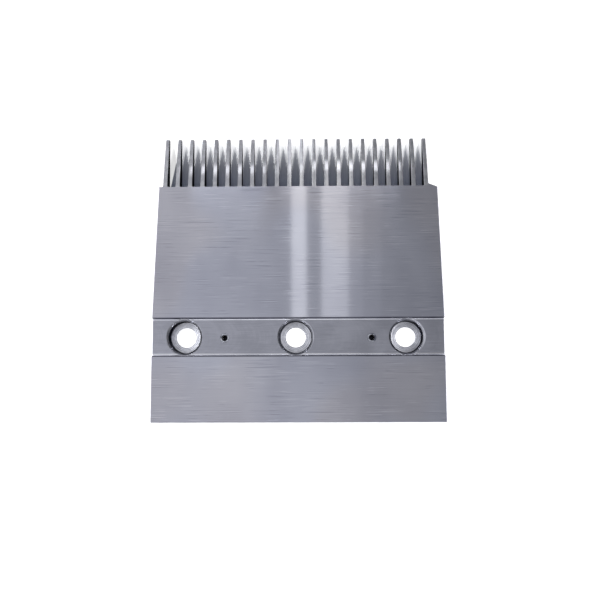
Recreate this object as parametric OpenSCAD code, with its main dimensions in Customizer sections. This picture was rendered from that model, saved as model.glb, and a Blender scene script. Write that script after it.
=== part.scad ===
// Escalator comb plate: a light-alloy plate whose front edge is cut into teeth that stand in the grooves of
// the steps. A flat land lies at the back, a sunk channel with three screw holes crosses the plate, and a
// ramp falls from the channel to the teeth.
// X is the width, Y points to the tooth tips, Z is up. The origin is on the axis of the centre screw hole,
// in the base plane that the plate rests on. The teeth are centred on it.

/* [Comb] */
// Number of comb teeth
tooth_count = 22; // [21:1:24]
// Distance from tooth to tooth, which is the pitch of the step grooves
tooth_pitch = 9.068; // [8.8:0.001:9.4]
// Length of the teeth in front of the slot roots
tooth_length = 38.5; // [30:0.5:44]
// Thickness of a tooth at its root
tooth_root_w = 3.15; // [2.6:0.05:3.8]
// Thickness of a tooth at its tip
tooth_tip_w = 2.5; // [1.9:0.05:2.6]
// Height of the teeth and of the plate's nose at the slot roots
root_h = 10.6; // [10:0.1:13]
// Straight length of a tooth top, before it bends down to the tip
tooth_straight = 9; // [5:0.5:14]
// Radius of a tooth's nose, seen from the side
nose_r = 1.6; // [1:0.1:2]
// Radius of a tooth's two tip corners, seen from above
tip_corner_r = 0.8; // [0.3:0.05:0.9]
// Radius in the two corners of a slot root, seen from above
slot_corner_r = 0.9; // [0.3:0.1:1.6]

/* [Plate] */
// Length of the flat land behind the channel
land_length = 45.5; // [36:0.5:60]
// Length of the ramp, measured level, from the channel to the slot roots
ramp_length = 97.2; // [90:0.2:110]
// Height of the land above the base
plate_h = 26; // [24:0.5:28]
// Plain strip beside the last tooth, wider than the half slot on the other side
side_strip = 3.5; // [0.5:0.5:6]
// How far the shoulder beside the last tooth stands in front of the slot roots
shoulder_front = 1.7; // [0.5:0.1:3]
// How far that shoulder falls back from there to the plate's corner
shoulder_fall = 2.7; // [0.5:0.1:5]
// Bevel that breaks the upper edges
edge_break = 0.4; // [0.1:0.1:1]

/* [Channel] */
// Room between the rim of a screw hole and the mouth of the channel, on each side
rim_room = 0.45; // [0.1:0.05:3]
// Depth of the channel
channel_depth = 2.8; // [1.5:0.1:4]
// How far each channel wall leans in towards the floor
channel_lean = 0.8; // [0.1:0.1:1.2]
// Radius between the channel floor and its walls
channel_corner_r = 0.8; // [0.3:0.1:1.2]

/* [Screw holes] */
// Distance between neighbouring screw holes
hole_spacing = 77.5; // [70:0.5:80]
// Width of the bevel that runs round the counterbore, in the channel floor
rim_bevel = 1.55; // [0.5:0.05:2]
// Diameter of the counterbore for the screw head
head_d = 22.4; // [19:0.1:23.5]
// Depth of the counterbore below the channel floor
head_depth = 9.7; // [6:0.1:12]
// Diameter of the screw's clearance hole
screw_d = 14; // [9:0.5:16]

/* [Thread inserts] */
// Distance between the two inserts
insert_span = 102.4; // [96:0.2:110]
// How far the inserts lie behind the line of the screw holes
insert_back = 0.6; // [0:0.1:3]
// Outer diameter of an insert
insert_d = 6.2; // [5.4:0.1:8]
// Length of an insert
insert_length = 8; // [5:0.5:12]
// Bore of an insert, over the crests of its thread
insert_bore = 3.3; // [2.5:0.1:4]
// Diameter of the bevelled mouth of the bore
insert_mouth = 4.3; // [4.1:0.1:5]
// Play between an insert and its hole, on the radius
insert_play = 0.03; // [0.01:0.01:0.1]
// How far the insert's hole goes on below it as a drilled pilot
pilot_depth = 4; // [1:0.5:6]

/* [Underside] */
// Thickness of the metal over the hollows of the underside
skin = 9; // [7:0.5:10]
// Width of the foot along the back edge
back_foot_w = 10; // [6:0.5:14]
// Width of the solid strip that holds the screw holes
boss_w = 38; // [32:0.5:44]
// Solid length of the nose behind the slot roots
nose_w = 24; // [18:0.5:30]
// Width of the rib that parts the two hollows under the ramp
rib_w = 7; // [4:0.5:12]
// Radius in the upper corners of the hollows
hollow_r = 3; // [1:0.5:4]

/* [Hidden] */
$fn = 96;

// Amount by which a cut runs past the face it opens
past = 1;
// Arcs cross the lines and arcs that they run into by this hair's breadth, so that each seam is one edge
hair = 0.004;

// Diameter of the rim round a screw hole. The channel is as wide as the rims need.
rim_d = head_d + 2 * rim_bevel;

// Places along Y
channel_half = rim_d / 2 + rim_room;
back_y = -channel_half - land_length;
root_y = channel_half + ramp_length;
tip_y = root_y + tooth_length;

// Places along X: the first and last pitch boundary of the comb, and the two sides of the plate
comb_half = tooth_count * tooth_pitch / 2;
left_x = -comb_half;
right_x = comb_half + side_strip;
middle_x = (left_x + right_x) / 2;

// Heights
floor_z = plate_h - channel_depth;
seat_z = floor_z - head_depth;

// The ramp falls by this angle from the channel to the slot roots, and the teeth go on at it
ramp_angle = atan((plate_h - root_h) / ramp_length);
function ramp_z(y) = plate_h - (y - channel_half) * tan(ramp_angle);

// A tooth top bends down along one large arc. The arc touches the ramp where the straight part ends, and
// it touches the small circle of the nose. Its radius follows from these two, a hair's breadth apart from
// each: sink is how far the nose's centre lies below the line of the ramp.
bend = [root_y + tooth_straight, ramp_z(root_y + tooth_straight)];
nose_centre = [tip_y - nose_r, nose_r];
ramp_normal = [sin(ramp_angle), cos(ramp_angle)];
nose_way = nose_centre - bend;
sink = -(nose_way * ramp_normal);
seam_r = nose_r - hair;
top_r = (nose_way * nose_way + 2 * hair * sink + hair * hair - seam_r * seam_r) / (2 * (sink + hair - seam_r));
top_centre = bend - (top_r - hair) * ramp_normal;
nose_ray = (nose_centre - top_centre) / norm(nose_centre - top_centre);

// Half the width of a slot, at a distance y in front of the slot roots: it is what the teeth leave of the
// pitch, and widens as they get thinner
function slot_half(y) = (tooth_pitch - tooth_root_w) / 2 + y * (tooth_root_w - tooth_tip_w) / 2 / tooth_length;

insert_x = [middle_x - insert_span / 2, middle_x + insert_span / 2];

// Turns a side view, drawn as Y and Z, into a bar of that section from x0 to x1
module along_x(x0, x1) {
    translate([x0, 0, 0])
        rotate([90, 0, 90])
            linear_extrude(height = x1 - x0)
                children();
}

// The land, the ramp and the teeth as a plain wedge that runs on to the line of the tips
module wedge_side() {
    polygon([
        [back_y, 0],
        [back_y, plate_h - edge_break],
        [back_y + edge_break, plate_h],
        [channel_half, plate_h],
        [tip_y, ramp_z(tip_y)],
        [tip_y, 0],
    ]);
}

// Side view of the channel: a flat floor, round corners, leaning walls and broken upper edges
module channel_side() {
    foot_y = channel_half - channel_lean;
    lean_angle = atan(channel_lean / (channel_depth - edge_break));
    reach = channel_corner_r * tan((90 - lean_angle) / 2);
    flat_y = foot_y - reach;
    wall_y = foot_y + reach * sin(lean_angle);
    wall_z = floor_z + reach * cos(lean_angle);
    polygon([
        [-flat_y, floor_z],
        [flat_y, floor_z],
        [wall_y, wall_z],
        [channel_half, plate_h - edge_break],
        [channel_half + edge_break + past, plate_h + past],
        [-channel_half - edge_break - past, plate_h + past],
        [-channel_half, plate_h - edge_break],
        [-wall_y, wall_z],
    ]);
    for (side = [-1, 1])
        translate([side * flat_y, floor_z + channel_corner_r])
            circle(r = channel_corner_r + hair);
}

// What is cut from the front of that wedge, so that the teeth end in the large arc and the round nose
module tooth_end_side() {
    difference() {
        translate([bend[0], -past])
            square([tip_y + past - bend[0], plate_h]);
        intersection() {
            translate(top_centre)
                circle(r = top_r, $fn = 720);
            polygon([
                [bend[0] - past, -2 * past],
                [nose_centre[0], -2 * past],
                nose_centre,
                nose_centre + plate_h * nose_ray,
                [bend[0] - past, plate_h],
            ]);
        }
        translate(nose_centre)
            circle(r = nose_r);
    }
}

// Side view of one hollow of the underside, from y0 to y1, with its roof at z0 over y0 and z1 over y1. Its
// two upper corners are round.
module hollow_side(y0, y1, z0, z1) {
    slope = atan((z0 - z1) / (y1 - y0));
    drop = hollow_r / cos(slope);
    lean = hollow_r * [sin(slope), cos(slope)];
    centre0 = [y0 + hollow_r, z0 - hollow_r * tan(slope) - drop];
    centre1 = [y1 - hollow_r, z1 + hollow_r * tan(slope) - drop];
    polygon([
        [y0, -past],
        [y0, centre0[1]],
        centre0 + lean,
        centre1 + lean,
        [y1, centre1[1]],
        [y1, -past],
    ]);
    for (centre = [centre0, centre1])
        translate(centre)
            circle(r = hollow_r + hair);
}

// The three hollows: one under the land, and two under the ramp with the rib between them
module hollows_side() {
    boss_half = boss_w / 2;
    hollow_side(back_y + back_foot_w, -boss_half, plate_h - skin, plate_h - skin);
    thick = skin / cos(ramp_angle);
    room = root_y - nose_w - boss_half;
    bay = (room - rib_w) / 2;
    for (start = [boss_half, boss_half + bay + rib_w])
        hollow_side(start, start + bay, ramp_z(start) - thick, ramp_z(start + bay) - thick);
}

// The plate before its slots are sawn and its holes are drilled: one section from side to side
module plate_blank() {
    difference() {
        along_x(left_x, right_x)
            wedge_side();
        along_x(left_x - past, right_x + past)
            channel_side();
        along_x(left_x - past, right_x + past)
            hollows_side();
        along_x(left_x - past, right_x + past)
            tooth_end_side();
    }
}

// The round tip corner, seen from above, of a tooth that stands to the right of a slot
module tip_corner_plan() {
    side_x = slot_half(tooth_length - tip_corner_r);
    centre = [side_x + tip_corner_r - hair, tooth_length - tip_corner_r + hair];
    difference() {
        translate([centre[0] - 2 * tip_corner_r, centre[1]])
            square([2 * tip_corner_r, tip_corner_r + past]);
        translate(centre)
            circle(r = tip_corner_r);
    }
}

// One slot from above, open at the front, with y = 0 at its root. It widens to the tips, has round root
// corners, and rounds the tip corners of the teeth on both sides.
module slot_plan() {
    corner_x = slot_half(slot_corner_r);
    polygon([
        [-corner_x + slot_corner_r, 0],
        [corner_x - slot_corner_r, 0],
        [corner_x, slot_corner_r],
        [slot_half(tooth_length + past), tooth_length + past],
        [-slot_half(tooth_length + past), tooth_length + past],
        [-corner_x, slot_corner_r],
    ]);
    for (side = [-1, 1])
        translate([side * (corner_x - slot_corner_r), slot_corner_r])
            circle(r = slot_corner_r);
    tip_corner_plan();
    mirror([1, 0])
        tip_corner_plan();
}

// The cut beside an end tooth, from above. The tooth stands to the left of x = 0 and the plate's side is at
// the given width. The root of the cut is the shoulder: it stands front in front of the slot roots beside
// the tooth, and falls back by fall on its way to the side.
module end_plan(width, front, fall) {
    polygon([
        [-slot_half(front), front],
        [width, front - fall],
        [width + past, front - fall],
        [width + past, tooth_length + past],
        [-slot_half(tooth_length + past), tooth_length + past],
    ]);
    mirror([1, 0])
        tip_corner_plan();
}

// Everything that is sawn away between and beside the teeth
module slots() {
    translate([0, root_y, -past])
        linear_extrude(height = plate_h + 2 * past) {
            for (i = [1 : tooth_count - 1])
                translate([i * tooth_pitch - comb_half, 0])
                    slot_plan();
            translate([comb_half, 0])
                end_plan(side_strip, shoulder_front, shoulder_fall);
            translate([-comb_half, 0])
                mirror([1, 0])
                    end_plan(0, 0, 0);
        }
}

// One screw hole: the clearance hole, the counterbore for the head and the bevelled rim
module screw_hole() {
    translate([0, 0, -past])
        cylinder(d = screw_d, h = plate_h);
    translate([0, 0, seat_z])
        cylinder(d = head_d, h = plate_h);
    translate([0, 0, floor_z - rim_bevel])
        cylinder(d1 = head_d, d2 = rim_d, h = rim_bevel);
    translate([0, 0, floor_z])
        cylinder(d = rim_d, h = plate_h);
}

// The hole that one thread insert sits in, with the thinner drilled hole below it
module insert_hole() {
    translate([0, 0, floor_z - insert_length])
        cylinder(d = insert_d + 2 * insert_play, h = insert_length + past);
    translate([0, 0, floor_z - insert_length - pilot_depth])
        cylinder(d = insert_bore, h = pilot_depth + past);
}

module comb_plate() {
    color([0.68, 0.69, 0.73])
        difference() {
            plate_blank();
            slots();
            for (i = [-1 : 1])
                translate([i * hole_spacing, 0, 0])
                    screw_hole();
            for (x = insert_x)
                translate([x, -insert_back, 0])
                    insert_hole();
        }
}

// One thread insert: a plain bush here, flush with the channel floor, with a bevelled mouth
module thread_insert(x) {
    bevel = (insert_mouth - insert_bore) / 2;
    color([0.55, 0.56, 0.58])
        translate([x, -insert_back, floor_z - insert_length])
            difference() {
                cylinder(d = insert_d, h = insert_length);
                translate([0, 0, -past])
                    cylinder(d = insert_bore, h = insert_length + 2 * past);
                translate([0, 0, insert_length - bevel])
                    cylinder(d1 = insert_bore, d2 = insert_mouth, h = bevel);
                translate([0, 0, insert_length])
                    cylinder(d = insert_mouth, h = past);
            }
}

module thread_insert_left() {
    thread_insert(insert_x[0]);
}

module thread_insert_right() {
    thread_insert(insert_x[1]);
}

comb_plate();
thread_insert_left();
thread_insert_right();
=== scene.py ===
"""Escalator comb plate: the visual model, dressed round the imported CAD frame.

The plate lies on its base with +Z up, its comb teeth point to +Y, and its width runs along X. The origin is
on the axis of the centre screw hole. Every size is in metres.
"""

import logging
import math
from dataclasses import dataclass, field
from enum import IntEnum

import bmesh
import bpy
import numpy as np
from bpy.types import ID, Material, Mesh, Node, Object, World
from bpy.types import NodeSocket as Socket
from mathutils import Matrix, Vector


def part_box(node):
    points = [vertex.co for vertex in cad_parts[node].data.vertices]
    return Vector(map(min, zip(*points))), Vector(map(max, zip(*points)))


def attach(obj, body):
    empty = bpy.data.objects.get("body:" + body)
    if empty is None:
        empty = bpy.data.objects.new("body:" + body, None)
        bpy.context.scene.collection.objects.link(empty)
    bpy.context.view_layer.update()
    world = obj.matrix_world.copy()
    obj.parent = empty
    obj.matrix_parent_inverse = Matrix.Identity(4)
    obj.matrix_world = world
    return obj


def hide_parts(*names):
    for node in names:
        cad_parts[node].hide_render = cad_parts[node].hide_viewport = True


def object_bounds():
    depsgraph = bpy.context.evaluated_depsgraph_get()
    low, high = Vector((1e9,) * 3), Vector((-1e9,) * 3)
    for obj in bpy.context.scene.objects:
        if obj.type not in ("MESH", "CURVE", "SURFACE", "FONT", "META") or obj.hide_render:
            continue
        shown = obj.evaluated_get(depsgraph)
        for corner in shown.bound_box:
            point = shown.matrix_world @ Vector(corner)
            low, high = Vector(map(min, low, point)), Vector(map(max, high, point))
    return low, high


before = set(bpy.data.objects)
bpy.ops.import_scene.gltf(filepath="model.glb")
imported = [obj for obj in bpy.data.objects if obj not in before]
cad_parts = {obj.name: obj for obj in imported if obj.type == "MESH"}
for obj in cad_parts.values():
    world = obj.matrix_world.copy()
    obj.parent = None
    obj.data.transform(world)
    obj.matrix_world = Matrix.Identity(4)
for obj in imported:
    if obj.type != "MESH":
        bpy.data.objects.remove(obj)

log = logging.getLogger("comb_plate")

MM = 1e-3
BODY = "root"

CAD_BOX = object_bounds()

# Corners nearer to each other than WELD become one, a radius of SHARP leaves an edge as good as sharp, and
# a tool reaches CLEAR above what it cuts.
WELD = 0.001 * MM
SHARP = 0.002 * MM
CLEAR = 1.0 * MM
WHITE = (1.0, 1.0, 1.0, 1.0)

Value = float | np.ndarray
Pair = tuple[float, float]
Triple = tuple[float, float, float]


def linked(name: str, data: ID) -> Object:
    """A new object that holds the data, linked to the scene."""
    made = bpy.data.objects.new(name, data)
    bpy.context.scene.collection.objects.link(made)
    return made


class Zone(IntEnum):
    """Material zones of the plate, which are also the numbers of its material slots."""

    TREAD = 0
    CHANNEL = 1
    WALL = 2
    BORE = 3
    SHANK = 4
    BEVEL = 5
    SEAT = 6
    TOOTH = 7
    SLOT = 8
    SAWN = 9
    UNDERSIDE = 10
    FILLET = 11


class InsertZone(IntEnum):
    """Material zones of a thread insert, which are also the numbers of its material slots."""

    OUTSIDE = 0
    BORE = 1


@dataclass
class Shell:
    """Patches of faces that are welded into one mesh.

    Attributes:
        points: One array of corner places per patch.
        faces: One list of faces per patch, each a tuple of corner numbers.
        zones: One array per patch with the zone of each of its faces.
    """

    points: list[np.ndarray] = field(default_factory=list)
    faces: list[list[tuple[int, ...]]] = field(default_factory=list)
    zones: list[np.ndarray] = field(default_factory=list)

    def add(self, points: np.ndarray, faces: np.ndarray | list, zone: int | np.ndarray) -> None:
        """Adds one patch.

        Args:
            points: Corner places, as an array whose last axis is x, y, z.
            faces: Faces as rows of corner numbers within the patch.
            zone: One zone for the whole patch, or one for each face.
        """
        self.points.append(np.asarray(points, float).reshape(-1, 3))
        self.faces.append([tuple(int(i) for i in row) for row in faces])
        self.zones.append(np.broadcast_to(np.asarray(zone), (len(faces),)).copy())

    def build(self, name: str, sharp_deg: float = 28.0) -> Object:
        """Welds the patches and makes an object of them.

        Args:
            name: Name of the object.
            sharp_deg: Faces that meet at more than this angle keep a sharp edge between them.

        Returns:
            The new object, linked to the scene.
        """
        starts = np.cumsum([0] + [len(p) for p in self.points[:-1]])
        faces = [tuple(i + int(s) for i in f) for s, patch in zip(starts, self.faces) for f in patch]
        mesh = bpy.data.meshes.new(name)
        mesh.from_pydata(np.concatenate(self.points).tolist(), [], faces)
        zones = np.concatenate(self.zones).astype(np.int32)
        for _ in range(int(zones.max()) + 1):
            mesh.materials.append(None)
        mesh.polygons.foreach_set("material_index", zones)
        work = bmesh.new()
        work.from_mesh(mesh)
        bmesh.ops.remove_doubles(work, verts=work.verts, dist=WELD)
        bmesh.ops.dissolve_degenerate(work, edges=work.edges, dist=WELD / 2)
        bmesh.ops.recalc_face_normals(work, faces=work.faces)
        work.to_mesh(mesh)
        work.free()
        mesh.polygons.foreach_set("use_smooth", np.ones(len(mesh.polygons), bool))
        mesh.set_sharp_from_angle(angle=math.radians(sharp_deg))
        return linked(name, mesh)


def slots_of(mesh: Mesh) -> np.ndarray:
    """The material slot of each face of a mesh."""
    slots = np.empty(len(mesh.polygons), np.int32)
    mesh.polygons.foreach_get("material_index", slots)
    return slots


def flatten_shading(piece: Object) -> None:
    """Keeps the normals of a piece's large faces, so that only the narrow breaks between them curve."""
    modifier = piece.modifiers.new("flat faces", "WEIGHTED_NORMAL")
    modifier.mode, modifier.weight, modifier.keep_sharp = "FACE_AREA", 100, True


def grid_faces(rows: int, cols: int, close_cols: bool = False) -> np.ndarray:
    """Quads that join a grid of points.

    Args:
        rows: Number of rows of points.
        cols: Number of points in a row.
        close_cols: Whether the last point of a row is joined to the first.

    Returns:
        An array of faces, each four point numbers.
    """
    across = cols if close_cols else cols - 1
    r, c = np.meshgrid(np.arange(rows - 1), np.arange(across), indexing="ij")
    here, there = r * cols + c, r * cols + (c + 1) % cols
    return np.stack([here, there, there + cols, here + cols], axis=-1).reshape(-1, 4)


def rounded_path(corners: np.ndarray, radii: np.ndarray, steps: int) -> np.ndarray:
    """A closed path whose corners are circular arcs.

    Each arc runs between two points that lie r / tan(half the corner's angle) from the corner, on its two
    sides. It is the rational quadratic curve over them whose middle weight is the sine of half that angle,
    which is an exact arc.

    Args:
        corners: Corner points of the path, one row each.
        radii: Radius at each corner. A very small one leaves the corner as good as sharp.
        steps: Number of points along each arc.

    Returns:
        An array of shape (corners, steps, 2).
    """
    before = np.roll(corners, 1, axis=0) - corners
    after = np.roll(corners, -1, axis=0) - corners
    before /= np.linalg.norm(before, axis=1, keepdims=True)
    after /= np.linalg.norm(after, axis=1, keepdims=True)
    half = np.arccos(np.clip((before * after).sum(axis=1), -1.0, 1.0)) / 2
    reach = (radii / np.tan(half))[:, None]
    start, end = corners + before * reach, corners + after * reach
    u = np.linspace(0.0, 1.0, steps)[None, :, None]
    w = np.sin(half)[:, None, None]
    weights = (1 - u) ** 2, 2 * w * u * (1 - u), u**2
    pulls = [weight * point[:, None] for weight, point in zip(weights, (start, corners, end))]
    return sum(pulls) / sum(weights)


def full_turn(steps: int) -> np.ndarray:
    """The angles of a full turn, in one row."""
    return np.linspace(0.0, 2 * np.pi, steps, endpoint=False)[None, :]


def quarter_turn(steps: int) -> np.ndarray:
    """The angles of a quarter turn, with both its ends."""
    return np.linspace(0.0, np.pi / 2, steps)


def leg(hypotenuse: float, other: Value) -> Value:
    """The second leg of a right triangle, or 0 where the first is longer than its hypotenuse."""
    return np.sqrt(np.maximum(hypotenuse**2 - other**2, 0.0))


def turned(name: str, r: np.ndarray, z: np.ndarray, zones: np.ndarray, centre: Pair, steps: int,
           sharp_deg: float = 28.0) -> Object:
    """A closed solid of revolution about a vertical axis.

    A point of the profile at radius r and height z goes to (r cos a, r sin a, z) for each angle a of a full
    turn. The profile starts and ends on the axis, or ends where it starts.

    Args:
        name: Name of the object.
        r: Radius of each profile point, as one column, or as a column for each angle.
        z: Height of each profile point, as one column.
        zones: The zone of each stretch between two profile points.
        centre: Place of the axis in x and y.
        steps: Number of angles in a turn.
        sharp_deg: Faces that meet at more than this angle keep a sharp edge between them.

    Returns:
        The new object.
    """
    angle = full_turn(steps)
    points = np.stack([centre[0] + r * np.cos(angle), centre[1] + r * np.sin(angle), z + 0 * angle], axis=-1)
    shell = Shell()
    shell.add(points, grid_faces(len(points), steps, close_cols=True), np.repeat(zones, steps))
    return shell.build(name, sharp_deg)


def cut(target: Object, tools: list[Object]) -> None:
    """Cuts closed tools out of a closed mesh, and removes the tools.

    Args:
        target: The object that is cut. Its mesh is replaced.
        tools: The solids to cut away. Their faces keep the numbers of their material slots.
    """
    for tool in tools:
        modifier = target.modifiers.new(tool.name, "BOOLEAN")
        modifier.operation, modifier.solver, modifier.object = "DIFFERENCE", "EXACT", tool
        modifier.material_mode = "INDEX"
    bpy.context.view_layer.update()
    graph = bpy.context.evaluated_depsgraph_get()
    mesh = bpy.data.meshes.new_from_object(target.evaluated_get(graph))
    target.modifiers.clear()
    target.data = mesh
    for tool in tools:
        bpy.data.objects.remove(tool)


@dataclass(frozen=True)
class Comb:
    """The comb: its teeth and the slots between them.

    Attributes:
        count: Number of teeth.
        pitch: Spacing of the teeth, which is that of the step's grooves.
        length: Length of a tooth in front of the slot roots.
        root_width: Width of a tooth at its root, without the flare of the root corners.
        tip_width: Width that the taper reaches at the tip.
        straight: Length of the top's first stretch, which carries on the ramp.
        nose_radius: Radius of the tip in side view.
        tip_corner: Radius of the tip's corners in plan.
        root_corner: Radius of the slot's corners in plan.
        edge_break: Radius of a tooth's long edges.
        edge_share: Largest share of a section's smaller side that this radius may take up.
        sunk: How far a tooth reaches into the plate, and how much smaller its section is there.
    """

    count: int = 22
    pitch: float = 9.068 * MM
    length: float = 38.5 * MM
    root_width: float = 3.15 * MM
    tip_width: float = 2.5 * MM
    straight: float = 9.0 * MM
    nose_radius: float = 1.6 * MM
    tip_corner: float = 0.8 * MM
    root_corner: float = 0.9 * MM
    edge_break: float = 0.22 * MM
    edge_share: float = 0.45
    sunk: float = 1.0 * MM
    flare_steps: int = 7
    straight_steps: int = 6
    curve_steps: int = 20
    nose_steps: int = 12
    corner_steps: int = 4

    @property
    def half(self) -> float:
        """Half the width of the comb, from pitch line to pitch line."""
        return self.count * self.pitch / 2

    def slot_half(self, y: Value) -> Value:
        """Half the width of a slot at a distance y in front of the slot roots."""
        return (self.pitch - self.root_width) / 2 + y * (self.root_width - self.tip_width) / 2 / self.length

    def centres(self) -> np.ndarray:
        """Places of the teeth along X."""
        return (np.arange(self.count) - (self.count - 1) / 2) * self.pitch


@dataclass(frozen=True)
class ScrewHole:
    """One counterbored screw hole.

    Attributes:
        shank: Radius of the hole for the screw's shank.
        head: Radius of the counterbore.
        depth: Depth of the counterbore below the channel floor.
        bevel: Width and depth of the bevel round its mouth.
        crown: Place of the bevel's low ridge, as shares of its width and of its depth.
        burr: Width of the small bevels inside the hole.
        spacing: Spacing of the holes along X.
        steps: Number of points round the hole.
    """

    shank: float = 7.0 * MM
    head: float = 11.2 * MM
    depth: float = 9.7 * MM
    bevel: float = 1.55 * MM
    crown: Pair = (0.66, 0.25)
    burr: float = 0.3 * MM
    spacing: float = 77.5 * MM
    steps: int = 128

    def tool(self, name: str, x: float, floor_z: float, top_z: float) -> Object:
        """The solid that is cut away for the hole.

        Args:
            name: Name of the object.
            x: Place of the axis along X.
            floor_z: Height of the channel floor.
            top_z: Height that the tool reaches up to.

        Returns:
            The closed tool.
        """
        seat, rim, b = floor_z - self.depth, self.head + self.bevel, self.burr
        profile = np.array([
            [0.0, -3 * b], [self.shank + 4 * b, -3 * b], [self.shank, b], [self.shank, seat - b],
            [self.shank + b, seat], [self.head - b, seat], [self.head, seat + b],
            [self.head, floor_z - self.bevel],
            [self.head + self.bevel * self.crown[0], floor_z - self.bevel * self.crown[1]],
            [rim, floor_z], [rim, top_z], [0.0, top_z],
        ])
        zones = np.array([Zone.SHANK] * 3 + [Zone.SEAT] * 2 + [Zone.BORE] * 2 + [Zone.BEVEL] * 4)
        return turned(name, profile[:, :1], profile[:, 1:], zones, (x, 0.0), self.steps)


@dataclass(frozen=True)
class ThreadInsert:
    """One steel bush with a screw thread in its bore."""

    node: str
    outer: float = 3.1 * MM
    length: float = 8.0 * MM
    crest: float = 1.65 * MM
    thread_depth: float = 0.4 * MM
    thread_pitch: float = 0.7 * MM
    flank_slope: float = 3.4
    flank_top: float = 1.35
    mouth: float = 2.15 * MM
    edge: float = 0.15 * MM
    play: float = 0.03 * MM
    pilot: float = 4.0 * MM
    steps: int = 64
    rings: int = 240

    def centre(self) -> Triple:
        """Place of the insert's axis in x and y, and the height of its top, from the CAD node."""
        low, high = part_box(self.node)
        return (low.x + high.x) / 2, (low.y + high.y) / 2, high.z

    def tool(self, name: str) -> Object:
        """The solid that is cut away for the insert and its pilot hole."""
        x, y, top = self.centre()
        seat, r = top - self.length, self.outer + self.play
        profile = np.array([
            [0.0, seat - self.pilot], [self.crest, seat - self.pilot], [self.crest, seat],
            [r, seat], [r, top + CLEAR], [0.0, top + CLEAR],
        ])
        zones = np.full(len(profile) - 1, Zone.BORE)
        return turned(name, profile[:, :1], profile[:, 1:], zones, (x, y), self.steps)

    def build(self) -> Object:
        """The bush.

        Its section runs down the outside and up the bore. In the bore the radius at height z and angle a is
        the crest radius plus the thread depth times a wave of (z / pitch - a / full turn), so the groove
        climbs by one pitch a turn. The wave is 0 on the crest and 1 in the groove's root. The straight flanks
        between them would meet at flank_top. The depth fades to nothing towards both ends.

        Returns:
            The new object.
        """
        x, y, top = self.centre()
        low, e = top - self.length, self.edge
        angle = full_turn(self.steps)
        outside = np.array([
            [self.mouth, top], [self.outer - e, top], [self.outer, top - e], [self.outer, low + e],
            [self.outer - e, low], [self.crest + e, low],
        ])
        bore_z = np.linspace(low + e, top - (self.mouth - self.crest), self.rings)[:, None]
        phase = (bore_z / self.thread_pitch - angle / (2 * np.pi)) % 1.0
        wave = np.clip(self.flank_top - np.abs(phase - 0.5) * self.flank_slope, 0.0, 1.0)
        runout = np.clip((bore_z - bore_z[0]) / self.thread_pitch, 0.0, 1.0)
        runout = runout * np.clip((bore_z[-1] - bore_z) / (0.5 * self.thread_pitch), 0.0, 1.0)
        bore_r = self.crest + self.thread_depth * wave * runout
        outside_r = outside[:, :1] + 0 * angle
        r = np.concatenate([outside_r, bore_r, outside_r[:1]])
        z = np.concatenate([outside[:, 1:], bore_z, outside[:1, 1:]])
        zones = np.full(len(r) - 1, InsertZone.OUTSIDE)
        zones[len(outside):] = InsertZone.BORE
        return turned(self.node + "_threaded", r, z, zones, (x, y), self.steps, sharp_deg=24.0)


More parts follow.
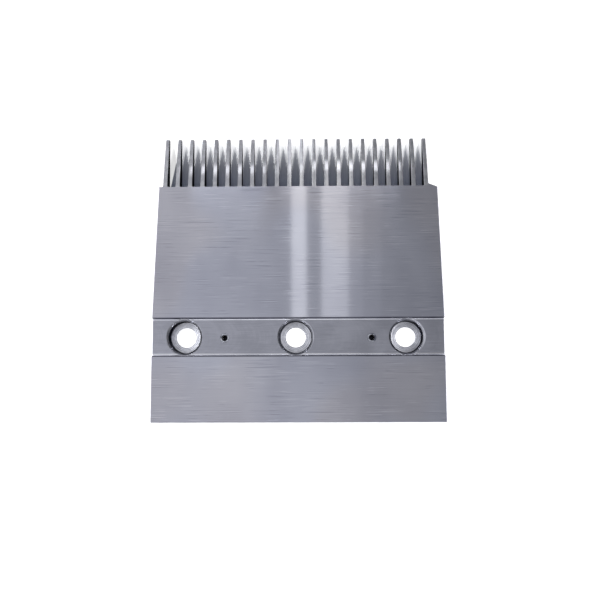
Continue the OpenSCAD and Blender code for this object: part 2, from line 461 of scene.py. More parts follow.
@dataclass(frozen=True)
class Plate:
    """The machined plate: land, channel, ramp, hollows and comb."""

    comb: Comb = field(default_factory=Comb)
    hole: ScrewHole = field(default_factory=ScrewHole)
    land: float = 45.5 * MM
    ramp: float = 97.2 * MM
    height: float = 26.0 * MM
    root_height: float = 10.6 * MM
    rim_room: float = 0.45 * MM
    channel_depth: float = 2.8 * MM
    channel_lean: float = 0.8 * MM
    channel_corner: float = 0.8 * MM
    land_corner: float = 1.5 * MM
    edge_break: float = 0.4 * MM
    side_break: float = 0.3 * MM
    skin: float = 9.0 * MM
    foot: float = 10.0 * MM
    boss: float = 38.0 * MM
    nose: float = 24.0 * MM
    rib: float = 7.0 * MM
    hollow_corner: float = 3.0 * MM
    shoulder_front: float = 1.7 * MM
    shoulder_fall: float = 2.7 * MM
    shoulder_step: float = 0.1 * MM
    arc_steps: int = 7

    @property
    def channel_half(self) -> float:
        """Half the width of the channel at its mouth."""
        return self.hole.head + self.hole.bevel + self.rim_room

    @property
    def root_y(self) -> float:
        """Place of the slot roots along Y."""
        return self.channel_half + self.ramp

    @property
    def floor_z(self) -> float:
        """Height of the channel floor."""
        return self.height - self.channel_depth

    @property
    def slope(self) -> float:
        """Fall of the ramp for each metre along Y."""
        return (self.height - self.root_height) / self.ramp

    def ramp_z(self, y: Value) -> Value:
        """Height of the ramp at a place along Y."""
        return self.height - (y - self.channel_half) * self.slope

    def section(self) -> tuple[np.ndarray, np.ndarray]:
        """The plate's section from the back edge to the slot roots.

        Returns:
            The points of the closed section, anticlockwise as seen from +X, and the zone of the stretch that
            follows each point.
        """
        half, back = self.channel_half, -self.channel_half - self.land
        boss = self.boss / 2
        thick = self.skin / math.cos(math.atan(self.slope))
        bay = (self.root_y - self.nose - boss - self.rib) / 2
        corners, radii, zones = [], [], []

        def go(y: float, z: float, radius: float, side: Zone, bend: Zone | None = None) -> None:
            """Adds a corner, its radius, the zone of the side that leaves it, and that of the arc itself."""
            corners.append((y, z))
            radii.append(radius)
            zones.extend([side if bend is None else bend] * (self.arc_steps - 1) + [side])

        def hollow(y0: float, y1: float, z0: float, z1: float) -> None:
            """Adds the four corners of one hollow of the underside."""
            go(y0, 0.0, self.side_break, Zone.UNDERSIDE)
            go(y0, z0, self.hollow_corner, Zone.UNDERSIDE)
            go(y1, z1, self.hollow_corner, Zone.UNDERSIDE)
            go(y1, 0.0, self.side_break, Zone.UNDERSIDE)

        go(back, 0.0, self.side_break, Zone.UNDERSIDE)
        hollow(back + self.foot, -boss, self.height - self.skin, self.height - self.skin)
        for start in (boss, boss + bay + self.rib):
            end = start + bay
            hollow(start, end, self.ramp_z(start) - thick, self.ramp_z(end) - thick)
        lean = self.channel_lean * self.channel_depth / (self.channel_depth - self.edge_break)
        go(self.root_y, 0.0, SHARP, Zone.SLOT)
        go(self.root_y, self.root_height, SHARP, Zone.TREAD)
        go(half - self.channel_lean + lean, self.height, self.edge_break, Zone.WALL)
        go(half - self.channel_lean, self.floor_z, self.channel_corner, Zone.CHANNEL, Zone.FILLET)
        go(self.channel_lean - half, self.floor_z, self.land_corner, Zone.WALL, Zone.FILLET)
        go(self.channel_lean - half - lean, self.height, self.edge_break, Zone.TREAD, Zone.WALL)
        go(back, self.height, self.edge_break, Zone.SAWN)
        path = rounded_path(np.array(corners), np.array(radii), self.arc_steps)
        return path.reshape(-1, 2), np.array(zones)

    @property
    def tooth_side(self) -> float:
        """Place along X of the outer side of the last tooth."""
        return self.comb.half - self.comb.slot_half(0.0)

    def beside(self, x: np.ndarray) -> np.ndarray:
        """Whether a place along X lies beside the comb, where the shoulder is."""
        return x > self.tooth_side - 0.75 * self.shoulder_step

    def front(self, x: np.ndarray) -> np.ndarray:
        """Place along Y of the front face: the slot roots, and the shoulder beside the last tooth.

        The shoulder stands in front of the roots beside the tooth and falls back in a straight line to the
        plate's side. Where it starts, half a step's width inside the tooth, the face steps forward.
        """
        along = (x - self.tooth_side) / (CAD_BOX[1].x - self.tooth_side)
        shoulder = self.root_y + self.shoulder_front - self.shoulder_fall * along
        return np.where(self.beside(x), shoulder, self.root_y)

    def body(self) -> Shell:
        """The plate behind the slot roots, carried along X from side to side.

        At each side the section is drawn in by the side break, along the normals of its outline, which
        breaks the edges of the end faces.
        """
        section, zones = self.section()
        left, right, b = CAD_BOX[0].x, CAD_BOX[1].x, self.side_break
        step_start, step_end = self.tooth_side - self.shoulder_step, self.tooth_side - self.shoulder_step / 2
        x = np.array([left, left + b, step_start, step_end, right - b, right])
        inset = np.array([b, 0.0, 0.0, 0.0, 0.0, b])
        ahead = np.roll(section, -1, axis=0) - section
        ahead /= np.linalg.norm(ahead, axis=1, keepdims=True)
        normal = np.stack([ahead[:, 1], -ahead[:, 0]], axis=1)
        mitre = normal + np.roll(normal, 1, axis=0)
        mitre *= 2.0 / (mitre**2).sum(axis=1, keepdims=True)
        is_front = section[:, 0] > self.root_y - 2 * SHARP
        is_top = is_front & (section[:, 1] > self.root_height / 2)
        shift = (self.front(x) - self.root_y)[:, None] * is_front[None, :]
        y = section[None, :, 0] + shift - inset[:, None] * mitre[None, :, 0]
        z = section[None, :, 1] - shift * self.slope * is_top[None, :] - inset[:, None] * mitre[None, :, 1]
        points = np.stack([x[:, None] + 0 * y, y, z], axis=-1)
        shell = Shell()
        faces = grid_faces(len(x), len(section), close_cols=True)
        cells = np.tile(zones, (len(x) - 1, 1))
        # Beside the comb the front face takes the plain sawn finish, without the slot finish and its painted
        # shade.
        cells[self.beside(x[:-1])[:, None] & (cells == Zone.SLOT)] = Zone.SAWN
        shell.add(points, faces, cells.ravel())
        ring = np.arange(len(section))
        shell.add(points[0], [ring], Zone.SAWN)
        shell.add(points[-1], [ring], Zone.SAWN)
        return shell

    def tooth_stations(self) -> tuple[np.ndarray, ...]:
        """The sizes of a tooth along its length.

        The top follows the ramp, then one large arc that touches the ramp and the nose, then the nose's own
        circle. With n the ramp's normal and s how far the nose's centre lies below the ramp's line, the
        arc's radius is (d * d - r * r) / (2 * (s - r)), where d is the way from the bend to the nose's
        centre and r the nose's radius. In plan the sides taper, flare into the slot's root corners and
        round off at the tip.

        Returns:
            Place along Y, width, and heights of the top and the bottom of each station.
        """
        c = self.comb
        tip = self.root_y + c.length
        bend = np.array([self.root_y + c.straight, self.ramp_z(self.root_y + c.straight)])
        nose = np.array([tip - c.nose_radius, c.nose_radius])
        angle = math.atan(self.slope)
        normal = np.array([math.sin(angle), math.cos(angle)])
        way = nose - bend
        sink = -way @ normal
        big = (way @ way - c.nose_radius**2) / (2 * (sink - c.nose_radius))
        centre = bend - big * normal
        touch = nose + c.nose_radius * (nose - centre) / np.linalg.norm(nose - centre)
        flare = self.root_y + c.root_corner * (1 - np.cos(quarter_turn(c.flare_steps)))
        straight = np.linspace(flare[-1], bend[0], c.straight_steps)[1:]
        curve = np.linspace(bend[0], nose[0], c.curve_steps)[1:]
        end = nose[0] + c.nose_radius * np.sin(quarter_turn(c.nose_steps))[1:]
        y = np.concatenate([flare, straight, curve, end])
        arc = centre[1] + leg(big, y - centre[0])
        lift = leg(c.nose_radius, np.maximum(y - nose[0], 0.0))
        top = np.where(y <= bend[0], self.ramp_z(y), np.where(y <= touch[0], arc, nose[1] + lift))
        bottom = nose[1] - lift
        inward = np.clip(c.root_corner - (y - self.root_y), 0.0, None)
        outward = np.clip(y - (tip - c.tip_corner), 0.0, None)
        width = c.pitch - 2 * c.slot_half(y - self.root_y)
        width = width + 2 * (c.root_corner - leg(c.root_corner, inward))
        width = width - 2 * (c.tip_corner - leg(c.tip_corner, outward))
        sunk = ((y, -c.sunk), (width, -c.sunk), (top, -c.sunk), (bottom, c.sunk))
        return tuple(np.concatenate([[values[0] + shift], values]) for values, shift in sunk)

    def teeth(self, shell: Shell) -> None:
        """Adds the teeth as closed tubes that start inside the plate.

        A station's section is a rectangle with round corners: a point of the corner arc at angle a stands at
        the corner's centre plus the corner radius times (cos a, sin a). The last station has no height, so
        the tube closes on a line at the tip.

        Args:
            shell: The shell that the teeth are added to.
        """
        c, steps = self.comb, self.comb.corner_steps
        y, width, top, bottom = self.tooth_stations()
        turn = np.concatenate([quarter_turn(steps) + k * np.pi / 2 for k in range(4)])
        side = np.repeat([1.0, -1.0, -1.0, 1.0], steps)
        is_top = np.repeat([True, True, False, False], steps)
        r = np.minimum(c.edge_break, c.edge_share * np.minimum(width, top - bottom))[:, None]
        x = side[None, :] * (width[:, None] / 2 - r) + r * np.cos(turn)[None, :]
        z = np.where(is_top[None, :], top[:, None] - r, bottom[:, None] + r) + r * np.sin(turn)[None, :]
        around = len(turn)
        faces = grid_faces(len(y), around, close_cols=True)
        # The sides of the teeth take the slot finish, whose near black colour is painted shade.
        across = np.full(around, Zone.SLOT)
        across[:2 * steps - 1] = Zone.TOOTH
        across[2 * steps:-1] = Zone.UNDERSIDE
        zones = np.tile(across, len(y) - 1)
        for centre in c.centres():
            points = np.stack([x + centre, np.broadcast_to(y[:, None], x.shape), z], axis=-1)
            shell.add(points, faces, zones)
            shell.add(points[0], [np.arange(around)], Zone.SAWN)

    def build(self, inserts: list[ThreadInsert]) -> Object:
        """The whole plate with its holes and teeth.

        Args:
            inserts: The thread inserts that the plate has holes for.

        Returns:
            The new object.
        """
        block = self.body().build("plate_block")
        above = self.height + 2 * CLEAR
        tools = [self.hole.tool(f"hole_tool_{k}", k * self.hole.spacing, self.floor_z, above)
                 for k in (-1, 0, 1)]
        tools += [insert.tool(f"insert_tool_{k}") for k, insert in enumerate(inserts)]
        cut(block, tools)
        shell = Shell()
        mesh = block.data
        places = np.empty(len(mesh.vertices) * 3)
        mesh.vertices.foreach_get("co", places)
        shell.add(places, [tuple(p.vertices) for p in mesh.polygons], slots_of(mesh))
        bpy.data.objects.remove(block)
        self.teeth(shell)
        made = shell.build("comb_plate_machined")
        flatten_shading(made)
        return made


class Nodes:
    """A short hand for building the node tree of one material, or of the world."""

    def __init__(self, owner: Material | World) -> None:
        """Empties the owner's tree."""
        owner.use_nodes = True
        self.owner = owner
        self.tree = owner.node_tree
        self.tree.nodes.clear()
        self.places = self.made("TexCoord").outputs
        self.coords = self.places["Object"]

    def put(self, socket: Socket, value: object) -> None:
        """Links a socket to another one, or sets its own value."""
        if isinstance(value, Socket):
            self.tree.links.new(value, socket)
        else:
            socket.default_value = value

    def made(self, kind: str, *values: object, inputs: dict[str, object] | None = None, **settings: object
             ) -> Node:
        """A new node.

        Args:
            kind: Kind of the node, without the words that all of them start with.
            values: Values of its first inputs, in their order.
            inputs: Values of other inputs, by their names.
            settings: Its settings, which are made first.

        Returns:
            The node.
        """
        node = self.tree.nodes.new("ShaderNode" + kind)
        for name, setting in settings.items():
            setattr(node, name, setting)
        for socket, value in zip(node.inputs, values):
            self.put(socket, value)
        for name, value in (inputs or {}).items():
            self.put(node.inputs[name], value)
        return node

    def math(self, operation: str, *values: object, clamp: bool = False) -> Socket:
        """The result of a Math node."""
        return self.made("Math", *values, operation=operation, use_clamp=clamp).outputs[0]

    def chain(self, operation: str, values: list[Socket]) -> Socket:
        """The result of one operation of the Math node, carried through a row of values."""
        result = values[0]
        for value in values[1:]:
            result = self.math(operation, result, value)
        return result

    def blend(self, *parts: tuple[Socket, float]) -> Socket:
        """The sum of some values, each times its weight."""
        return self.chain("ADD", [self.math("MULTIPLY", value, weight) for value, weight in parts])

    def length(self, a: Socket, b: Socket) -> Socket:
        """The length of a flat vector."""
        return self.math("SQRT", self.chain("ADD", [self.math("MULTIPLY", part, part) for part in (a, b)]))

    def split(self, vector: Socket) -> tuple[Socket, ...]:
        """The x, y and z of a vector."""
        return tuple(self.made("SeparateXYZ", vector).outputs)

    def join(self, x: object, y: object, z: object) -> Socket:
        """A vector from its x, y and z."""
        return self.made("CombineXYZ", x, y, z).outputs[0]

    def noise(self, scale: Triple, detail: float = 2.0, rough: float = 0.5, shift: float = 0.0,
              vector: Socket | None = None) -> Socket:
        """Noise of the object's coordinates.

        Args:
            scale: Number of waves for each metre along x, y and z.
            detail: Number of finer layers.
            rough: Strength of the finer layers.
            shift: Moves the pattern, so that two of the same scale differ.
            vector: Coordinates to read instead.

        Returns:
            The noise, from 0 to 1.
        """
        place = self.made("Mapping", vector or self.coords, inputs={"Scale": scale, "Location": (shift,) * 3})
        inputs = {"Scale": 1.0, "Detail": detail, "Roughness": rough}
        return self.made("TexNoise", place.outputs[0], inputs=inputs).outputs["Fac"]

    def ramp(self, value: Socket, low: float, high: float, to_low: float = 0.0, to_high: float = 1.0
             ) -> Socket:
        """Maps a value from low..high to to_low..to_high in a smooth step."""
        node = self.made("MapRange", value, low, high, to_low, to_high, interpolation_type="SMOOTHSTEP")
        return node.outputs[0]

    def tint(self, factor: Socket, dark: Triple, light: Triple) -> Socket:
        """A colour between two, by a factor from 0 to 1."""
        inputs = {"Factor": factor, "A": (*dark, 1.0), "B": (*light, 1.0)}
        return self.made("Mix", inputs=inputs, data_type="RGBA", clamp_factor=True).outputs["Result"]

    def product(self, colour: Socket, tint: Socket) -> Socket:
        """Two colours multiplied, part by part."""
        return self.made("VectorMath", colour, tint, operation="MULTIPLY").outputs[0]

    def scaled(self, colour: Socket, factor: Socket) -> Socket:
        """A colour made lighter or darker by a factor."""
        return self.made("VectorMath", colour, inputs={"Scale": factor}, operation="SCALE").outputs[0]

    def along(self, vector: Socket, way: Triple) -> Socket:
        """How far a vector reaches along a way."""
        return self.made("VectorMath", vector, way, operation="DOT_PRODUCT").outputs["Value"]

    def bump(self, height: Socket, distance: float, strength: float) -> Socket:
        """A normal from a height map."""
        inputs = {"Strength": strength, "Distance": distance, "Height": height}
        return self.made("Bump", inputs=inputs).outputs[0]


@dataclass(frozen=True)
class Finish:
    """What the metal finishes share.

    A field that names some marks holds the scale of their noise: its waves for each metre along x, y and z.

    Attributes:
        name: Name of the material.
        dark: Darkest base colour.
        light: Lightest base colour.
        roughness: Its roughness at the low end of its wears, and at the high end.
        glancing: Share of light kept at glancing angles. The finishes of deep walls and bores keep little of
            it, a painted shade that darkens them where shade falls.
        anisotropy: How much it stretches a highlight.
        relief: Depth of its marks.
        strength: Share of that depth that its normals follow.
        tones: The tone at which its base colour is darkest, and that at which it is lightest.
        wears: The wear, or else the tone, at which its roughness is at the one end and at the other.
    """

    name: str
    dark: Triple
    light: Triple
    roughness: Pair = (0.26, 0.36)
    glancing: float = 1.0
    anisotropy: float = 0.0
    relief: float = 0.01 * MM
    strength: float = 0.5
    tones: Pair = (0.35, 0.65)
    wears: Pair = (0.35, 0.65)

    def nodes(self) -> Nodes:
        """The empty tree of its new material."""
        return Nodes(bpy.data.materials.new(self.name))

    def metal(self, n: Nodes, tone: Socket, height: Socket, tangent: Socket | None = None,
              wear: Socket | None = None, tinge: Socket | None = None) -> Material:
        """Closes the tree with a metal shader.

        Args:
            n: The tree.
            tone: What the base colour follows.
            height: Height of the marks.
            tangent: Direction across the marks.
            wear: What the roughness follows, where it isn't the tone.
            tinge: Colour that the base colour is multiplied by.

        Returns:
            The finished material.
        """
        colour = n.tint(n.ramp(tone, *self.tones), self.dark, self.light)
        inputs = {
            "Metallic": 1.0, "Anisotropic": self.anisotropy, "Specular Tint": (*(self.glancing,) * 3, 1.0),
            "Base Color": n.product(colour, tinge) if tinge else colour,
            "Roughness": n.ramp(wear or tone, *self.wears, *self.roughness),
            "Normal": n.bump(height, self.relief, self.strength),
        }
        if tangent:
            inputs["Tangent"] = tangent
        shader = n.made("BsdfPrincipled", inputs=inputs)
        n.made("OutputMaterial", shader.outputs[0])
        return n.owner


@dataclass(frozen=True)
class BrushedFinish(Finish):
    """Aluminium brushed across the width, as on the land and the ramp."""

    name: str = "aluminium_brushed"
    dark: Triple = (0.42, 0.426, 0.51)
    light: Triple = (0.66, 0.665, 0.755)
    roughness: Pair = (0.075, 0.125)
    anisotropy: float = 1.0
    relief: float = 0.0016 * MM
    tones: Pair = (-0.1, 0.6)
    wears: Pair = (-0.8, 0.8)
    warm: Triple = (1.015, 1.0, 0.975)
    cool: Triple = (0.985, 1.0, 1.015)
    fine_lines: Triple = (34.0, 2600.0, 2600.0)
    coarse_lines: Triple = (26.0, 1500.0, 1500.0)
    scratches: Triple = (26.0, 2300.0, 2300.0)
    patches: Triple = (75.0, 95.0, 95.0)
    clouds: Triple = (26.0, 18.0, 18.0)
    hues: Triple = (16.0, 12.0, 12.0)

    def make(self) -> Material:
        """Straight streaks along X that come and go in patches, a few scratches and a cloudy, tinted tone."""
        n = self.nodes()
        light_lines = n.ramp(n.noise(self.fine_lines), 0.54, 0.70)
        dark_lines = n.ramp(n.noise(self.coarse_lines, shift=7.0), 0.55, 0.71)
        patch = n.ramp(n.noise(self.patches, shift=11.0), 0.44, 0.60, 0.12, 1.0)
        streak = n.math("MULTIPLY", n.math("SUBTRACT", light_lines, dark_lines), patch)
        scratch = n.ramp(n.noise(self.scratches, detail=1.0, shift=21.0), 0.68, 0.74)
        tone = n.blend((streak, 0.28), (n.noise(self.clouds, shift=3.0), 0.5))
        hue = n.tint(n.ramp(n.noise(self.hues, detail=1.0, shift=31.0), 0.4, 0.6), self.cool, self.warm)
        tinge = n.scaled(hue, n.math("MULTIPLY_ADD", scratch, -0.08, 1.0))
        height = n.math("MULTIPLY_ADD", scratch, -0.6, streak)
        return self.metal(n, tone, height, n.join(0.0, 1.0, 0.0), streak, tinge)


@dataclass(frozen=True)
class WornFinish(Finish):
    """Aluminium that steps and shoes have rubbed smooth, as on the tops of the teeth."""

    name: str = "aluminium_worn"
    dark: Triple = (0.48, 0.485, 0.53)
    light: Triple = (0.64, 0.645, 0.69)
    roughness: Pair = (0.06, 0.11)
    relief: float = 0.012 * MM
    tones: Pair = (0.36, 0.64)
    scuffs: Triple = (2200.0, 500.0, 500.0)
    clouds: Triple = (170.0, 170.0, 170.0)

    def make(self) -> Material:
        """Short scuffs along the teeth over a cloudy tone."""
        n = self.nodes()
        scuff = n.noise(self.scuffs, detail=3.0, rough=0.6)
        tone = n.blend((scuff, 0.4), (n.noise(self.clouds, shift=8.0), 0.6))
        return self.metal(n, tone, tone)


@dataclass(frozen=True)
class MilledFinish(Finish):
    """Aluminium as an end mill leaves it, as in the channel."""

    roughness: Pair = (0.20, 0.26)
    anisotropy: float = 0.7
    relief: float = 0.004 * MM
    tones: Pair = (0.36, 0.64)
    cutter_radius: float = 12.5 * MM
    feed: float = 0.5 * MM
    clouds: Triple = (45.0, 45.0, 45.0)
    streaks: Triple = (70.0, 1300.0, 1300.0)

    def make(self) -> Material:
        """Arcs of the cutter along the channel, a cloudy tone and fine streaks."""
        n = self.nodes()
        x, y, z = n.split(n.coords)
        inside = n.math("SUBTRACT", self.cutter_radius**2, n.math("MULTIPLY", y, y))
        arc = n.math("SUBTRACT", x, n.math("SQRT", n.math("MAXIMUM", inside, 0.0)))
        mark = n.noise((1.0 / self.feed, 60.0, 60.0), vector=n.join(arc, y, z))
        cloud = n.noise(self.clouds, detail=3.0, shift=5.0)
        streak = n.noise(self.streaks, shift=9.0)
        tone = n.blend((mark, 0.2), (cloud, 0.5), (streak, 0.3))
        return self.metal(n, tone, n.math("ADD", mark, streak), n.join(0.0, 1.0, 0.0))


@dataclass(frozen=True)
class TurnedFinish(Finish):
    """Aluminium as a boring tool leaves it: rings round the axis of each screw hole."""

    roughness: Pair = (0.24, 0.33)
    anisotropy: float = 0.7
    relief: float = 0.05 * MM
    strength: float = 0.7
    tones: Pair = (0.38, 0.62)
    ring: float = 0.9 * MM
    spacing: float = ScrewHole.spacing
    clouds: Triple = (330.0, 330.0, 330.0)

    def make(self) -> Material:
        """Rings of the tool by the distance from the nearest hole's axis and by height."""
        n = self.nodes()
        x, y, z = n.split(n.coords)
        nearest = n.math("ROUND", n.math("DIVIDE", x, self.spacing))
        off = n.math("SUBTRACT", x, n.math("MULTIPLY", nearest, self.spacing))
        turns = n.math("ADD", n.length(off, y), z)
        mark = n.noise((1.0 / self.ring, 25.0, 25.0), detail=3.0, rough=0.6, vector=n.join(turns, off, y))
        tone = n.blend((mark, 0.5), (n.noise(self.clouds, detail=3.0, rough=0.6, shift=2.0), 0.5))
        return self.metal(n, tone, tone, n.join(off, y, 0.0), mark)


@dataclass(frozen=True)
class SawnFinish(Finish):
    """Aluminium as a slitting cutter leaves it, as on the sides of the teeth and of the plate."""

    anisotropy: float = 0.6
    relief: float = 0.015 * MM
    strength: float = 0.6
    feed: float = 0.35 * MM
    centre: Pair = (160.0 * MM, 62.0 * MM)
    clouds: Triple = (60.0, 60.0, 60.0)

    def make(self) -> Material:
        """Arcs of a large cutter in the plane of Y and Z."""
        n = self.nodes()
        x, y, z = n.split(n.coords)
        dy, dz = n.math("SUBTRACT", y, self.centre[0]), n.math("SUBTRACT", z, self.centre[1])
        rings = n.join(n.length(dy, dz), x, y)
        mark = n.noise((1.0 / self.feed, 90.0, 30.0), detail=3.0, rough=0.6, vector=rings)
        tone = n.blend((mark, 0.6), (n.noise(self.clouds), 0.4))
        return self.metal(n, tone, mark, n.join(0.0, dy, dz), mark)


@dataclass(frozen=True)
class ExtrudedFinish(Finish):
    """Aluminium as the extrusion die leaves it, as on the underside: long lines along X."""

    name: str = "aluminium_extruded"
    dark: Triple = (0.52, 0.53, 0.56)
    light: Triple = (0.62, 0.63, 0.66)
    roughness: Pair = (0.29, 0.40)
    anisotropy: float = 0.5
    relief: float = 0.03 * MM
    strength: float = 0.6
    die_lines: Triple = (2.0, 1400.0, 1400.0)
    clouds: Triple = (22.0, 22.0, 22.0)

    def make(self) -> Material:
        """Die lines that run the whole width, with a faint tone of handling."""
        n = self.nodes()
        line = n.noise(self.die_lines, detail=3.0, rough=0.65)
        tone = n.blend((line, 0.55), (n.noise(self.clouds, detail=3.0, shift=4.0), 0.45))
        return self.metal(n, tone, line, n.join(0.0, 1.0, 0.3))


@dataclass(frozen=True)
class InsertFinish(Finish):
    """Dull steel of the thread inserts."""

    roughness: Pair = (0.40, 0.28)
    tones: Pair = (0.40, 0.60)
    grains: Triple = (900.0, 900.0, 2500.0)
    stains: Triple = (210.0, 210.0, 210.0)

    def make(self) -> Material:
        """Fine grain with darker stains, which are rougher too."""
        n = self.nodes()
        grain = n.noise(self.grains, detail=3.0, rough=0.6)
        tone = n.blend((grain, 0.25), (n.noise(self.stains, shift=6.0), 0.75))
        return self.metal(n, tone, grain)


@dataclass(frozen=True)
class Viewpoint:
    """The camera, at the photograph's viewing angle."""

    place: Triple = (8.955 * MM, -23.191 * MM, 509.808 * MM)
    turn: Triple = (0.10026, 0.01185, -0.00469)
    lens_mm: float = 42.0
    sensor_mm: float = 36.0
    clip: Pair = (0.01, 50.0)

    def build(self) -> None:
        """Makes the camera and gives it to the scene."""
        data = bpy.data.cameras.new("camera")
        data.lens, data.sensor_width, data.sensor_fit = self.lens_mm, self.sensor_mm, "HORIZONTAL"
        data.clip_start, data.clip_end = self.clip
        camera = linked("camera", data)
        x, y, z = (Matrix.Rotation(a, 4, axis) for a, axis in zip(self.turn, "XYZ"))
        camera.matrix_world = Matrix.Translation(self.place) @ x @ y @ z
        bpy.context.scene.camera = camera


@dataclass(frozen=True)
class Lamp:
    """One soft rectangular lamp that faces the plate, straight along Y or turned to another place along X."""

    name: str
    place: Triple
    size: Pair
    radiance: float
    colour: Triple = (1.0, 1.0, 1.0)
    aim_x: float | None = None
    aim_y: float = 0.08
    aim_z: float = 0.02

    def build(self) -> None:
        """Makes the lamp. Its power is its radiance times its area times pi."""
        data = bpy.data.lights.new(self.name, "AREA")
        data.shape = "RECTANGLE"
        data.size, data.size_y = self.size
        data.energy = self.radiance * self.size[0] * self.size[1] * math.pi
        data.color = self.colour
        lamp = linked(self.name, data)
        aim_x = self.place[0] if self.aim_x is None else self.aim_x
        back = Vector(self.place) - Vector((aim_x, self.aim_y, self.aim_z))
        lamp.location = self.place
        lamp.rotation_euler = back.to_track_quat("Z", "Y").to_euler()


@dataclass(frozen=True)
class Sheet:
    """A flat white sheet that takes shadows, with a glow that only a look at it shows.

    Attributes:
        name: Name of the object and of its material.
        half: Half its size along X and Y.
        z: Its height.
        white: Its diffuse white.
        glow: What it adds to what the camera and the metal see of it.
        place: Place of its middle along X and Y.
        fade: Share of the glow at the near end along Y. A glow that fades is bluish there, a painted bluish
            shade that darkens the sheet towards its near end.
        fade_past: How far past the far end a fading glow would be full.
        lean: How much farther out its left edge starts at the near end. The slanted edge paints a slanted
            shade where it shows.
    """

    name: str
    half: Pair
    z: float
    white: float = 0.74
    glow: float = 0.62
    place: Pair = (0.0, 0.0)
    fade: float = 1.0
    fade_past: float = 6.0 * MM
    painted_shade_blue: Triple = (0.45, 0.60, 1.0)
    lean: float = 0.0
    grain: Triple = (3.0, 3.0, 3.0)

    def material(self) -> Material:
        """The sheet's white, with its glow."""
        n = Nodes(bpy.data.materials.new(self.name + "_white"))
        shade = n.ramp(n.noise(self.grain, detail=1.0), 0.2, 0.8, self.white - 0.01, self.white)
        diffuse = n.made("BsdfDiffuse", n.join(shade, shade, shade))
        rays = n.made("LightPath").outputs
        seen = n.math("ADD", rays["Is Camera Ray"], rays["Is Glossy Ray"])
        seen = n.math("ADD", seen, rays["Is Transmission Ray"], clamp=True)
        tint = WHITE
        # Painted shade: a fading glow drops towards the near end and turns bluish there.
        if self.fade < 1.0:
            along = n.ramp(n.split(n.coords)[1], -self.half[1], self.half[1] + self.fade_past)
            tint = n.tint(along, self.painted_shade_blue, WHITE[:3])
            share = n.math("ADD", n.math("POWER", along, 4.0), self.fade, clamp=True)
            seen = n.math("MULTIPLY", seen, share)
        emission = n.made("Emission", tint, n.math("MULTIPLY", seen, self.glow))
        both = n.made("AddShader", diffuse.outputs[0], emission.outputs[0])
        n.made("OutputMaterial", both.outputs[0])
        return n.owner

    def build(self) -> None:
        """Makes the sheet."""
        x, y = self.half
        mesh = bpy.data.meshes.new(self.name)
        # A lean slants the left edge, which paints a slanted shade where it shows.
        corners = [(-x - self.lean, -y, 0.0), (x, -y, 0.0), (x, y, 0.0), (-x, y, 0.0)]
        mesh.from_pydata(corners, [], [(0, 1, 2, 3)])
        mesh.materials.append(self.material())
        made = linked(self.name, mesh)
        made.location = *self.place, self.z


@dataclass(frozen=True)
class SkyStep:
    """A smooth step in the brightness of the surrounding.

    Attributes:
        way: The way along which a direction is measured.
        turn: Where the step starts and where it ends.
        levels: The brightness before it and past it, as factors.
    """

    way: Triple
    turn: Pair
    levels: Pair


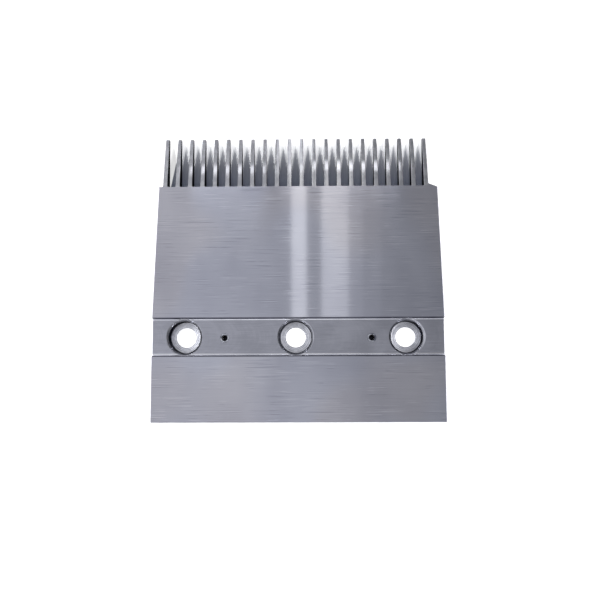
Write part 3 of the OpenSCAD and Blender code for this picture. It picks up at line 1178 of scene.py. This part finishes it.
@dataclass(frozen=True)
class Studio:
    """The plain pale floor, the soft lamps and the world round them.

    Attributes:
        sheets: The floor; a card below the screw holes, whose full glow is painted light where the plate's
            shadow falls; and a card below the comb, whose glow fades and turns bluish towards the slot roots,
            painted shade that deepens the cast shadows of the teeth, with a slanted left edge that paints a
            slanted shade in the first slot.
        sky: Steps of the world. In their order they make it darker on the right, and sooner so in front; dark
            low down on the right; and brighter low down on the left, behind, in front on the right and in
            front.
        sky_tint: Colour of the world.
        soft_share: Share of the world that lights the floor.
        lamps: The lamps. The strips make the bright bands on the ramp.
    """

    sheets: tuple[Sheet, ...] = (
        Sheet("floor", (1.5, 1.5), -0.03 * MM),
        # Painted light: the card below the screw holes glows fully white where the plate's shadow would
        # darken the floor seen through the holes.
        Sheet("hole_painted_light_card", (86.0 * MM, 7.5 * MM), -0.01 * MM, glow=1.0),
        # Painted shade: the card below the comb glows little and bluish towards the slot roots, darkening the
        # floor between the teeth beyond their cast shadows, and its slanted left edge paints a slanted shade
        # in the first slot.
        Sheet("comb_painted_shade_card", (91.0 * MM, 19.0 * MM), -0.02 * MM, white=0.92, glow=0.6,
              place=(4.9 * MM, 129.0 * MM), fade=0.085, lean=7.6 * MM),
    )
    sky: tuple[SkyStep, ...] = (
        SkyStep((1.0, 0.14, 0.0), (-0.172, 0.328), (0.655, 0.30)),
        SkyStep((1.0, 0.3, -2.5), (0.45, 0.65), (1.0, 0.02)),
        SkyStep((1.0, 0.0, 0.0), (-0.97, -0.7), (1.8, 1.0)),
        SkyStep((0.0, 1.0, 0.0), (-0.65, -0.45), (1.6, 1.0)),
        SkyStep((1.0, 1.0, -1.0), (0.62, 0.85), (1.0, 1.9)),
        SkyStep((0.0, 1.0, 0.0), (0.86, 0.96), (1.0, 1.5)),
    )
    sky_tint: Triple = (0.97, 0.98, 1.0)
    soft_share: float = 0.2
    lamps: tuple[Lamp, ...] = (
        Lamp("strip_left", (-0.0124, 0.60, 1.02), (0.036, 0.52), 0.55, (1.0, 0.985, 0.915)),
        Lamp("strip_right", (0.0715, 0.60, 1.02), (0.063, 0.52), 0.45, (1.0, 0.985, 0.925)),
        Lamp("strip_far", (0.120, 0.60, 1.02), (0.034, 0.52), 0.14, (1.0, 0.985, 0.955)),
        Lamp("strip_edge", (0.158, 0.60, 1.02), (0.042, 0.52), 0.06, (1.0, 0.985, 0.955)),
        Lamp("front_left", (-0.205, 0.950, 1.14), (0.21, 0.080), 0.98),
        Lamp("front_middle", (-0.035, 1.36, 1.14), (0.09, 0.78), 0.62),
        Lamp("front_right", (0.072, 1.000, 1.14), (0.104, 0.100), 1.1),
        Lamp("front_edge", (0.190, 0.985, 1.14), (0.134, 0.096), 1.2),
        Lamp("back_panel", (-0.45, -1.15, 0.75), (1.1, 0.45), 0.3),
        Lamp("side_left", (-0.80, 0.08, 1.02), (1.4, 0.15), 21.0, aim_x=0.0),
        Lamp("side_right", (0.80, 0.08, 1.02), (1.4, 0.15), 21.0, aim_x=0.0),
    )

    def world(self) -> None:
        """A grey surrounding for the metal to show, whose brightness is the product of the sky's steps.

        Rays that light the floor see only a share of it, and the camera sees plain white.
        """
        world = bpy.data.worlds.new("studio")
        bpy.context.scene.world = world
        n = Nodes(world)
        rays = n.made("LightPath").outputs
        factors = [n.ramp(n.along(n.places["Generated"], step.way), *step.turn, *step.levels)
                   for step in self.sky]
        factors.append(n.ramp(rays["Is Diffuse Ray"], 0.0, 1.0, 1.0, self.soft_share))
        shade = n.made("Background", (*self.sky_tint, 1.0), n.chain("MULTIPLY", factors))
        plain = n.made("Background", WHITE)
        both = n.made("MixShader", rays["Is Camera Ray"], shade.outputs[0], plain.outputs[0])
        n.made("OutputWorld", both.outputs[0])

    def build(self) -> None:
        """Builds the sheets, the world and the lamps."""
        for sheet in self.sheets:
            sheet.build()
        self.world()
        for lamp in self.lamps:
            lamp.build()
        bpy.context.scene.view_settings.view_transform = "Standard"


def dress(piece: Object, finishes: list[Material], slot: str, *nodes: str) -> None:
    """Gives a piece its finishes, and lets it stand for its CAD nodes.

    Args:
        piece: The new piece.
        finishes: Its materials, in the order of its slots.
        slot: The record's material slot for the piece. It is not used.
        nodes: The CAD nodes that it replaces.
    """
    for number, finish in enumerate(finishes):
        piece.data.materials[number] = finish
    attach(piece, BODY)
    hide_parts(*nodes)
    used = slots_of(piece.data)
    log.info("%s: %d faces, by slot %s", piece.name, len(used), np.bincount(used).tolist())


def plate_materials() -> list[Material]:
    """The plate's materials, in the order of its zones."""
    finishes = {
        Zone.TREAD: BrushedFinish(),
        Zone.CHANNEL: MilledFinish("aluminium_milled", (0.39, 0.398, 0.462), (0.472, 0.48, 0.555)),
        # Painted shade: the channel walls take a darker copy of the channel's milled finish, which keeps
        # little light at glancing angles.
        Zone.WALL: MilledFinish("aluminium_milled_wall_painted_shade", (0.11, 0.112, 0.14), (0.19, 0.192, 0.23),
                                (0.28, 0.34), 0.5),
        # Painted shade: the counterbore walls are near black and keep little light at glancing angles.
        Zone.BORE: TurnedFinish("aluminium_bored_painted_shade", (0.03, 0.032, 0.045), (0.07, 0.072, 0.095),
                                (0.26, 0.35), 0.1),
        Zone.SHANK: TurnedFinish("aluminium_drilled", (0.70, 0.705, 0.74), (0.86, 0.865, 0.90),
                                 (0.16, 0.25)),
        Zone.BEVEL: TurnedFinish("aluminium_bevelled", (0.34, 0.345, 0.39), (0.48, 0.488, 0.54),
                                 (0.20, 0.29), anisotropy=0.0),
        Zone.SEAT: TurnedFinish("aluminium_faced", (0.56, 0.57, 0.64), (0.86, 0.87, 0.95)),
        Zone.TOOTH: WornFinish(),
        # Painted shade: the slot walls and the sides of the teeth are near black and keep little light at
        # glancing angles, unlike the plain sawn finish.
        Zone.SLOT: SawnFinish("aluminium_slotted_painted_shade", (0.04, 0.042, 0.055), (0.09, 0.092, 0.115),
                              (0.31, 0.41), 0.12),
        Zone.SAWN: SawnFinish("aluminium_sawn", (0.42, 0.43, 0.48), (0.54, 0.55, 0.60)),
        Zone.UNDERSIDE: ExtrudedFinish(),
        # Painted highlight: the channel's corner fillets take a lighter copy of the milled finish, which
        # draws bright lines along them.
        Zone.FILLET: MilledFinish("aluminium_filleted_painted_highlight", (0.64, 0.646, 0.715), (0.80, 0.806, 0.87)),
    }
    return [finishes[zone].make() for zone in Zone]


def insert_materials() -> list[Material]:
    """The materials of the thread inserts, in the order of their zones."""
    finishes = {
        InsertZone.OUTSIDE: InsertFinish("steel_insert", (0.09, 0.095, 0.125), (0.56, 0.575, 0.65)),
        # Painted shade: the threaded bore takes a near black copy of the insert steel that keeps little light
        # at glancing angles.
        InsertZone.BORE: InsertFinish("steel_bore_painted_shade", (0.03, 0.03, 0.035), (0.10, 0.10, 0.11), glancing=0.2),
    }
    return [finishes[zone].make() for zone in InsertZone]


def main() -> None:
    """Builds the plate, its inserts and the studio."""
    logging.basicConfig(level=logging.INFO, format="%(name)s %(message)s")
    inserts = [ThreadInsert("thread_insert_left"), ThreadInsert("thread_insert_right")]
    plate = Plate().build(inserts)
    dress(plate, plate_materials(), "brushed_aluminium", "comb_plate")
    steel = insert_materials()
    for insert in inserts:
        dress(insert.build(), steel, "insert_steel", insert.node)
    Studio().build()
    Viewpoint().build()
    bpy.context.view_layer.update()


if __name__ == "__main__":
    main()
